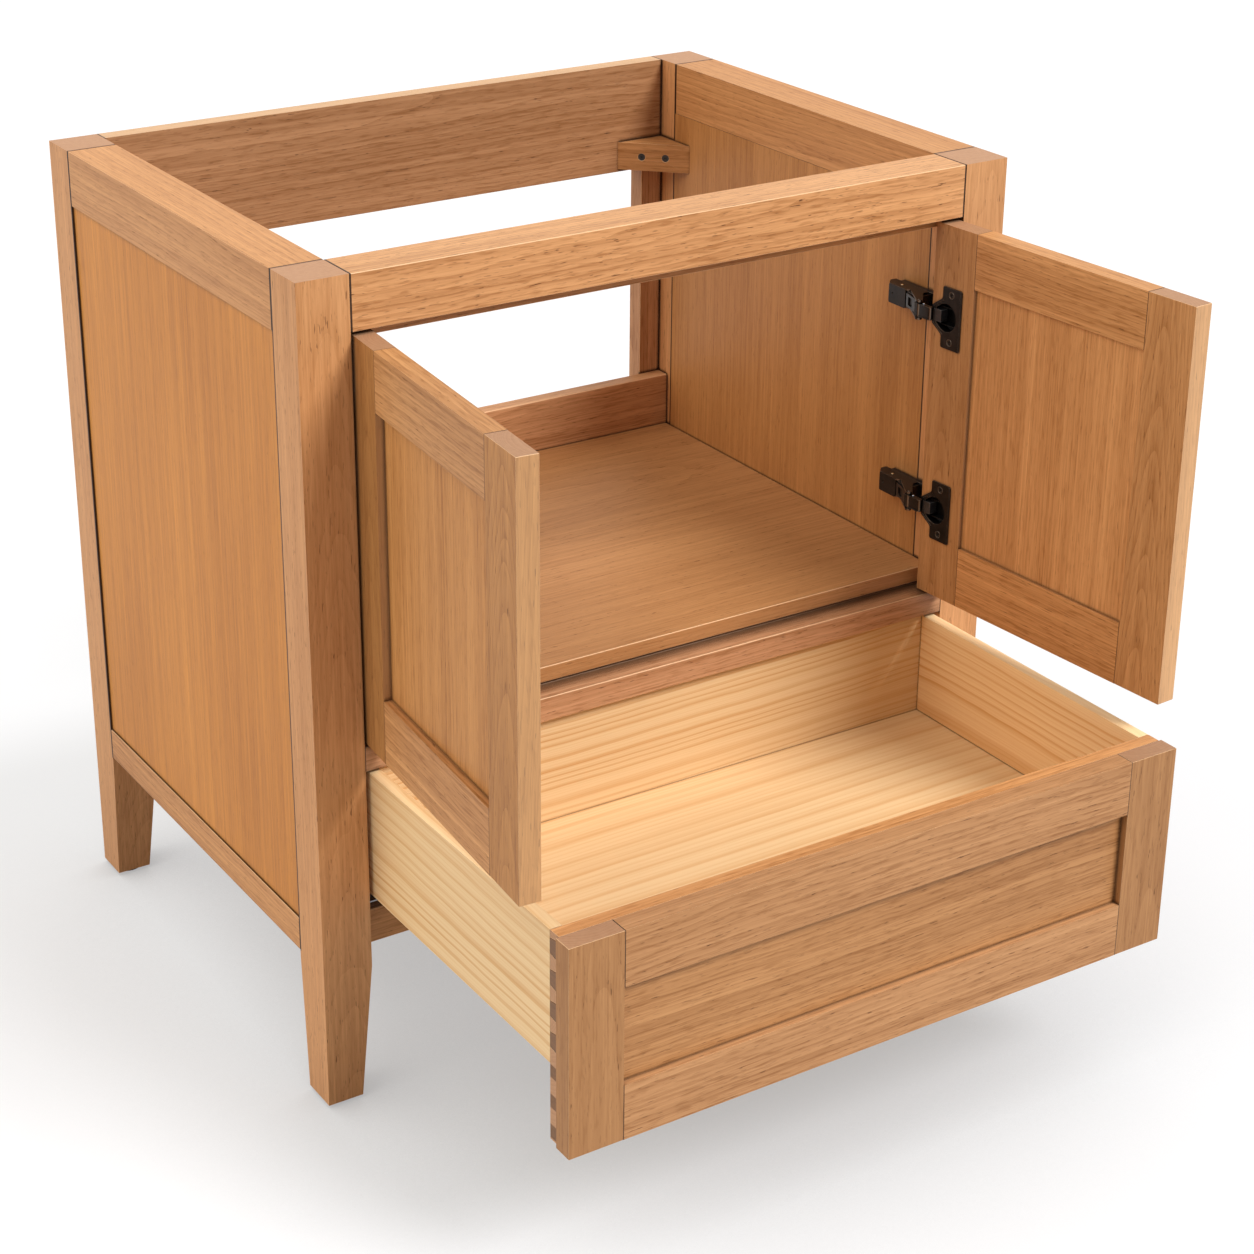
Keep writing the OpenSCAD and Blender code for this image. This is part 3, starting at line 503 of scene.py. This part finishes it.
# Concealed cup hinges of dark bronze plated steel. On the door: a pressed flange
# with a lug, a deep cup, the link's end block and two cross-head screws. Between:
# a rolled link. On the cabinet: a folded arm on its plate, with a brass rivet.
def rounded_outline(corners, radius, steps=5):
    """The outline with each corner rounded."""
    outline = []
    for index, corner in enumerate(corners):
        here = Vector(corner)
        back = Vector(corners[index - 1]) - here
        on = Vector(corners[(index + 1) % len(corners)]) - here
        start = here + back.normalized() * min(radius, back.length * 0.45)
        end = here + on.normalized() * min(radius, on.length * 0.45)
        for step in range(steps + 1):
            t = step / steps
            outline.append(tuple(start.lerp(here, t).lerp(here.lerp(end, t), t)))
    return outline


def round_outline(x, y, radius, sides=20, start=0.0, sweep=2 * math.pi):
    """A circle, or a part of one."""
    count = sides if sweep == 2 * math.pi else sides + 1
    angles = [start + sweep * i / sides for i in range(count)]
    return [(x + radius * math.cos(angle), y + radius * math.sin(angle)) for angle in angles]


def plate(mesh, outline, low, high, holes=(), place=Matrix.Identity(4)):
    """A flat plate between two heights, with holes through it."""
    edges = []
    for ring in (outline, *holes):
        corners = [mesh.verts.new((x, y, low)) for x, y in ring]
        edges += [mesh.edges.new((corners[i - 1], corners[i])) for i in range(len(corners))]
    filled = bmesh.ops.triangle_fill(mesh, use_beauty=True, edges=edges)["geom"]
    faces = [item for item in filled if isinstance(item, bmesh.types.BMFace)]
    under = {vert for face in faces for vert in face.verts}
    raised = bmesh.ops.extrude_face_region(mesh, geom=faces)["geom"]
    over = [item for item in raised if isinstance(item, bmesh.types.BMVert)]
    bmesh.ops.translate(mesh, verts=over, vec=(0, 0, high - low))
    bmesh.ops.transform(mesh, matrix=place, verts=list(under) + over)


def turned(mesh, profile, centre, place=Matrix.Identity(4), sides=36):
    """A turned piece. Its profile of radii and heights starts and ends on the axis."""
    loops = []
    for radius, height in profile:
        outline = round_outline(*centre, radius, sides) if radius else [centre]
        loops.append([mesh.verts.new(place @ Vector((x, y, height))) for x, y in outline])
    for lower, upper in zip(loops, loops[1:]):
        for i in range(sides):
            corners = (lower[i % len(lower)], upper[i % len(upper)],
                       upper[(i + 1) % len(upper)], lower[(i + 1) % len(lower)])
            mesh.faces.new(tuple(dict.fromkeys(corners)))


def fitting(name, mesh, place, body, node, material, arris=0.0002):
    """A small metal piece that rides on a body. It is drawn in millimetres."""
    bmesh.ops.transform(mesh, matrix=place @ Matrix.Scale(0.001, 4), verts=mesh.verts)
    bmesh.ops.recalc_face_normals(mesh, faces=mesh.faces)

    # the fill leaves its faces in no fixed order, so corners and faces are put in order of place
    corners = sorted(mesh.verts, key=lambda vert: tuple(vert.co))
    rank = {vert: index for index, vert in enumerate(corners)}
    faces = []
    for face in mesh.faces:
        loop = [rank[vert] for vert in face.verts]
        first = loop.index(min(loop))
        faces.append(loop[first:] + loop[:first])
    data = bpy.data.meshes.new(name)
    data.from_pydata([tuple(vert.co) for vert in corners], [], sorted(faces))
    mesh.free()
    data.shade_smooth()
    data.set_sharp_from_angle(angle=math.radians(35))
    data.materials.append(material)
    piece = bpy.data.objects.new(name, data)
    bpy.context.scene.collection.objects.link(piece)
    edge = piece.modifiers.new("rounded_edge", "BEVEL")
    edge.width = arris
    edge.segments = 2
    edge.limit_method = "ANGLE"
    edge.angle_limit = math.radians(35)
    edge.harden_normals = True
    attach(piece, body)
    if node:
        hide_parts(node)


def cross_head(mesh, radius, height, centre, place):
    """A screw head with a bright rim and a cross recess."""
    arm, half = radius * 0.58, radius * 0.15
    cross = [(half, half), (arm, half), (arm, -half), (half, -half), (half, -arm), (-half, -arm),
             (-half, -half), (-arm, -half), (-arm, half), (-half, half), (-half, arm), (half, arm)]
    moved = [(x + centre[0], y + centre[1]) for x, y in cross]
    disc = round_outline(*centre, radius * 0.78, 24)
    plate(mesh, disc, height - 0.9, height, [moved], place)
    plate(mesh, disc, height - 1.8, height - 0.92, place=place)
    foot, inner_foot, shoulder, crown = height - 1.9, height - 1.85, height - 0.1, height + 0.12
    rim = [(0, foot), (radius, foot), (radius, shoulder), (radius * 0.93, crown), (radius * 0.84, crown),
           (radius * 0.77, shoulder), (radius * 0.77, inner_foot), (0, inner_foot)]
    turned(mesh, rim, centre, place)


bronze = metal("hinge_bronze", ["hinge_plates", "hinge_plate_screws"], colour_0=(0.010, 0.008, 0.007, 1),
    colour_1=(0.030, 0.023, 0.019, 1), rough_0=0.26, rough_1=0.42, metallic=0.70,
    edge=(0.20, 0.145, 0.105, 1))
grey_steel = metal("hinge_inner_steel", [], colour_0=(0.045, 0.042, 0.042, 1),
    colour_1=(0.085, 0.080, 0.080, 1), rough_0=0.30, rough_1=0.45, metallic=0.75,
    edge=(0.34, 0.31, 0.29, 1))
# the cup is near black: painted shade for the inside of its well
cup_shade_black = metal("hinge_cup_painted_shade", [], colour_0=(0.004, 0.004, 0.004, 1),
    colour_1=(0.010, 0.009, 0.008, 1), rough_0=0.35, rough_1=0.55, metallic=0.6)
metal("corner_screw_black", ["corner_block_screws"], colour_0=(0.004, 0.004, 0.004, 1),
    colour_1=(0.012, 0.011, 0.010, 1), rough_0=0.45, rough_1=0.65, metallic=0.3,
    edge=(0.05, 0.045, 0.04, 1))
brass = metal("hinge_brass", [], colour_0=(0.62, 0.46, 0.24, 1), colour_1=(0.78, 0.62, 0.38, 1),
    rough_0=0.25, rough_1=0.40, metallic=0.85)
pin_steel = metal("hinge_pin_steel", [], colour_0=(0.42, 0.47, 0.55, 1), colour_1=(0.60, 0.66, 0.74, 1),
    rough_0=0.18, rough_1=0.30, metallic=0.9)

# from a drawing on the door's face, with X away from the hinge edge, Y up and Z out of the door
on_door = Matrix(((1, 0, 0, -6), (0, 0, 1, -6), (0, 1, 0, 0), (0, 0, 0, 1)))
# from a drawing on the arm's inboard side, with X to the back, Y up and Z away from the post
on_arm = Matrix(((0, 0, 1, -9), (1, 0, 0, -6), (0, 1, 0, 0), (0, 0, 0, 1)))

# in millimetres: heights of the door's inner face, the ribs and the flange; the flange's two screws,
# the cup's middle and its mouth; the pin that the link turns on, and the arm's rivet
door_face, rib_foot, flange_top = 20.0, 21.1, 21.2
screw_x, screw_y = 26.5, 24
cup_centre, mouth_radius = (21, 0), 14.2
pin, rivet = (18.9, 20.0), (3.6, 66.0)
# the link's angle in degrees with the door shut, and how far it turns for each degree of the door
link_shut, link_ratio = 60, 0.337
# half the arm's height, in metres
half_arm = 0.010

arm_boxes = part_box("hinge_arms")
for side, sign in (("left", 1), ("right", -1)):
    joint = hinges["door_" + side]
    opened = -joint["range_deg"][0]
    for level, height in (
        ("lower", arm_boxes[0].z + half_arm),
        ("upper", arm_boxes[1].z - half_arm),
    ):
        line = Vector((joint["pos_m"][0], joint["pos_m"][1], height))
        cabinet = Matrix.Translation(line) @ Matrix.Diagonal((sign, 1, 1, 1))
        door = cabinet @ Matrix.Rotation(math.radians(-opened), 4, "Z")
        link_turn = Matrix.Rotation(math.radians(-link_shut - link_ratio * opened), 4, "Z")
        link = cabinet @ Matrix.Translation((pin[0] / 1000, pin[1] / 1000, 0)) @ link_turn
        tag = f"{side}_{level}"

        # pressed flange with its mouth, two screw holes and raised ribs
        mesh = bmesh.new()
        flange = rounded_outline(
            [(14.5, -31), (40.5, -31), (40.5, 31), (14.5, 31), (14.5, 18.5), (0.7, 9), (0.7, -9),
             (14.5, -18.5)],
            2.2,
        )
        bow = round_outline(20, 0, mouth_radius, 24, math.pi / 2, -math.pi)
        mouth = [(6.4, 7.4), (13.5, 12.7), *bow, (13.5, -12.7), (6.4, -7.4)]
        screw_holes = [round_outline(screw_x, y, 3.62, 24) for y in (-screw_y, screw_y)]
        plate(mesh, flange, door_face, flange_top, [mouth, *screw_holes], on_door)
        for s in (1, -1):
            outer_rib = [(2.2, 8.2 * s), (3.0, 8.0 * s), (16.6, 17.3 * s), (16.0, 17.9 * s)]
            mouth_rib = [(5.6, 7.9 * s), (6.3, 7.5 * s), (13.4, 12.85 * s), (20.5, 14.35 * s),
                         (20.5, 15.2 * s), (13.0, 13.8 * s)]
            plate(mesh, outer_rib, rib_foot, 21.75, place=on_door)
            plate(mesh, mouth_rib, rib_foot, 21.6, place=on_door)
        free_rib = [(38.6, -30), (39.5, -30), (39.5, 30), (38.6, 30)]
        plate(mesh, free_rib, rib_foot, 21.5, place=on_door)
        fitting("hinge_flange_" + tag, mesh, door, "door_" + side, "hinge_cups_" + side, bronze)

        # deep cup with a cheek on each side of the link
        mesh = bmesh.new()
        well = [(0, 9.4), (14.6, 9.4), (16.0, 10.6), (16.0, 19.98), (17.2, 19.98), (17.2, 8.9),
                (16.4, 8.05), (0, 8.05)]
        turned(mesh, well, cup_centre, on_door)
        for s in (1, -1):
            cheek = [(8.5, 8.4 * s), (32.0, 8.4 * s), (32.0, 9.4 * s), (8.5, 9.4 * s)]
            plate(mesh, cheek, 9.5, 17.5, place=on_door)
        fitting("hinge_cup_" + tag, mesh, door, "door_" + side, "hinge_cups_" + side, cup_shade_black)

        # the link's end block, in the cup
        mesh = bmesh.new()
        block = rounded_outline([(6.6, -6.2), (14.2, -6.2), (14.2, 6.2), (6.6, 6.2)], 0.8, 3)
        plate(mesh, block, 13.0, 22.0, place=on_door)
        plate(mesh, [(3.8, -5.6), (6.5, -5.6), (6.5, 5.6), (3.8, 5.6)], 21.25, 21.9, place=on_door)
        fitting("hinge_end_block_" + tag, mesh, door, "door_" + side, None, grey_steel)

        mesh = bmesh.new()
        for y in (-screw_y, screw_y):
            cross_head(mesh, 3.5, 21.05, (screw_x, y), on_door)
        fitting("hinge_cup_screws_" + tag, mesh, door, "door_" + side, None, bronze, 0.0001)

        # rolled link: its knuckle round the pin, a strap with two flanges, and a short tail
        mesh = bmesh.new()
        knuckle = round_outline(0, 0, 3.0, 24)
        strap = rounded_outline(
            [(1.5, -2.5), (16.0, -2.5), (18.4, -1.2), (18.4, 0.8), (16.6, 1.7), (1.5, 1.7)], 0.8, 3
        )
        edge = rounded_outline(
            [(1.5, -2.6), (16.2, -2.6), (18.55, -1.3), (18.55, 1.3), (16.2, 2.6), (1.5, 2.6)], 0.8, 3
        )
        tail = rounded_outline([(0, -1.8), (-5.4, -0.9), (-5.6, 1.2), (-5.0, 2.4), (0, 2.9)], 1.0, 3)
        plate(mesh, knuckle, -6.5, 6.5)
        plate(mesh, strap, -5.9, 5.9)
        for low in (-6.5, 5.7):
            plate(mesh, edge, low, low + 0.8)
        plate(mesh, tail, -6.3, 6.3)
        fitting("hinge_link_" + tag, mesh, link, "links_" + side, "hinge_links_" + side, bronze)

        mesh = bmesh.new()
        turned(mesh, [(0, 6.4), (1.35, 6.4), (1.35, 7.1), (0.9, 7.5), (0, 7.6)], (5.8, -1.0), sides=20)
        fitting("hinge_link_pin_" + tag, mesh, link, "links_" + side, None, pin_steel)

        # folded arm in plan from the hinge line, with X to the middle of the cabinet and Y to the back:
        # two cheeks, the core, the web with its hole, a nose, and the sloping strap with its window
        mesh = bmesh.new()
        cheek = rounded_outline(
            [(-4, 34), (-4, 86), (3, 86), (9.4, 78.5), (9.4, 53), (6.4, 49.5), (21.0, 22.6),
             (16.2, 17.8), (3, 34)],
            1.6, 4,
        )
        for low, high in ((8.2, 10.0), (-10.0, -8.2)):
            boss = [(0, low + 0.02), (3.5, low + 0.02), (3.5, high - 0.02), (0, high - 0.02)]
            plate(mesh, cheek, low, high)
            turned(mesh, boss, pin, sides=28)
        core = [(-3.6, 30.5), (-3.6, 85.5), (2.8, 85.5), (8.6, 78), (8.6, 53), (12.6, 31), (6.0, 29.5)]
        plate(mesh, core, -8.25, 8.25)
        web = rounded_outline([(58.5, -9.9), (84.6, -9.9), (84.6, 9.9), (58.5, 9.9)], 1.6, 4)
        plate(mesh, web, 18.2, 19.4, [round_outline(79, 0.6, 1.0, 16)], on_arm)
        nose = [(8.5, 78.4), (9.9, 78.4), (3.1, 86), (2.6, 85.4)]
        plate(mesh, nose, -9.8, 9.8)
        slope = Matrix.Translation((9.6, 50.4, 0)) @ Matrix.Rotation(math.radians(-75.2), 4, "Z")
        on_slope = slope @ Matrix(((1, 0, 0, 0), (0, 0, 1, 0), (0, 1, 0, 0), (0, 0, 0, 1)))
        strip = rounded_outline([(0, -6.9), (23.5, -6.9), (23.5, 6.9), (0, 6.9)], 1.0, 3)
        window = rounded_outline([(4.5, -4.4), (13.5, -4.4), (13.5, 4.4), (4.5, 4.4)], 0.8, 3)
        plate(mesh, strip, -0.6, 0.9, [window], on_slope)
        fitting("hinge_arm_" + tag, mesh, cabinet, "cabinet", "hinge_arms", bronze)

        mesh = bmesh.new()
        for s in (1, -1):
            shank = [(0, 6.9 * s), (1.5, 6.9 * s), (1.5, 10.1 * s), (1.1, 10.45 * s), (0, 10.5 * s)]
            turned(mesh, shank, pin, sides=20)
        fitting("hinge_arm_pin_" + tag, mesh, cabinet, "cabinet", None, bronze)

        mesh = bmesh.new()
        for s in (1, -1):
            head = [(0, 9.9 * s), (1.5, 9.9 * s), (1.4, 10.35 * s), (0.8, 10.6 * s), (0, 10.65 * s)]
            turned(mesh, head, rivet, sides=20)
        fitting("hinge_rivets_" + tag, mesh, cabinet, "cabinet", None, brass)


# Studio: a white floor that keeps the shadow and has a soft shadow painted round the object,
# an even white surround, a key light high on the front right and two soft lights from the left.
floor_mesh = bpy.data.meshes.new("studio_floor")
floor_mesh.from_pydata([(-40, -40, 0), (40, -40, 0), (40, 40, 0), (-40, 40, 0)], [], [(0, 1, 2, 3)])
floor = bpy.data.objects.new("studio_floor", floor_mesh)
bpy.context.scene.collection.objects.link(floor)


def seen_directly(wire):
    """1 for rays from the camera and for those in reflections and through glass, which show white."""
    ray = wire.node("LightPath", {}, {}, "Is Camera Ray")
    mirrored, through = ray.other("Is Glossy Ray"), ray.other("Is Transmission Ray")
    return ray.math("MAXIMUM", mirrored).math("MAXIMUM", through)


paint, shader, at = start_material("studio_floor")
plain = Wire(at.tree, shader.outputs["BSDF"])
shader.inputs["Base Color"].default_value = (0.62, 0.62, 0.62, 1)
shader.inputs["Roughness"].default_value = 1.0
shader.inputs["Specular IOR Level"].default_value = 0.0
# the floor seen directly darkens near the object: a painted soft shadow from ambient occlusion
painted_shadow_open = at.node("AmbientOcclusion", {"samples": 12}, {"Distance": 0.44}, "AO")
soft = painted_shadow_open.step(0.25, 1.0)
pale = at.node("BsdfPrincipled", {}, {
    "Base Color": soft.mix((0.19, 0.187, 0.184, 1), (0.30, 0.30, 0.30, 1)),
    "Roughness": 1.0,
    "Specular IOR Level": 0.0,
    "Emission Color": soft.mix((0.60, 0.592, 0.588, 1), (0.985, 0.985, 0.985, 1)),
    "Emission Strength": 0.70,
})
shown = at.node("MixShader", {}, {0: seen_directly(at), 1: plain, 2: pale})
at.tree.links.new(shown.socket, at.tree.nodes["Material Output"].inputs["Surface"])
floor_mesh.materials.append(paint)

world = bpy.data.worlds.new("studio")
bpy.context.scene.world = world
world.use_nodes = True
tree = world.node_tree
lit = tree.nodes["Background"]
lit.inputs["Color"].default_value = (1, 1, 1, 1)
lit.inputs["Strength"].default_value = 0.205
room = Wire(tree, lit.outputs["Background"])
white = room.node("Background", {}, {"Color": (1, 1, 1, 1), "Strength": 1.0})
shown = room.node("MixShader", {}, {0: seen_directly(room), 1: room, 2: white})
tree.links.new(shown.socket, tree.nodes["World Output"].inputs["Surface"])

for name, direction, strength, width_deg, colour in (
    ("key", (-0.33, 0.62, -0.71), 3.25, 22, (0.99, 1.0, 1.04)),
    ("left_rear_fill", (0.82, -0.42, -0.38), 0.87, 60, (1.0, 0.94, 0.84)),
    ("left_fill", (0.66, 0.05, -0.75), 1.17, 50, (1.0, 0.975, 0.93)),
):
    light = bpy.data.lights.new(name, "SUN")
    light.energy = strength
    light.angle = math.radians(width_deg)
    light.color = colour
    lamp = bpy.data.objects.new(name, light)
    lamp.rotation_euler = Vector(direction).to_track_quat("-Z", "Y").to_euler()
    bpy.context.scene.collection.objects.link(lamp)


# Camera at the photograph's viewing angle, in front on the left, looking down. Its
# small shift puts the picture's middle where the photograph has it.
frame_px, focal_px = 1254, 2626.7
middle_x_px, middle_y_px = 567, 527
look_down_deg, heading_deg = 22.846, 31.679
camera = bpy.data.cameras.new("camera")
viewer = bpy.data.objects.new("camera", camera)
bpy.context.scene.collection.objects.link(viewer)
camera.sensor_width = 36
camera.lens = camera.sensor_width * focal_px / frame_px
camera.shift_x = (frame_px / 2 - middle_x_px) / frame_px
camera.shift_y = (middle_y_px - frame_px / 2) / frame_px
camera.clip_end = 200
viewer.location = (-1.2775, -1.9800, 1.4685)
viewer.rotation_euler = (math.radians(90 - look_down_deg), 0.0, math.radians(-heading_deg))
bpy.context.scene.camera = viewer
bpy.context.scene.view_settings.view_transform = "Standard"
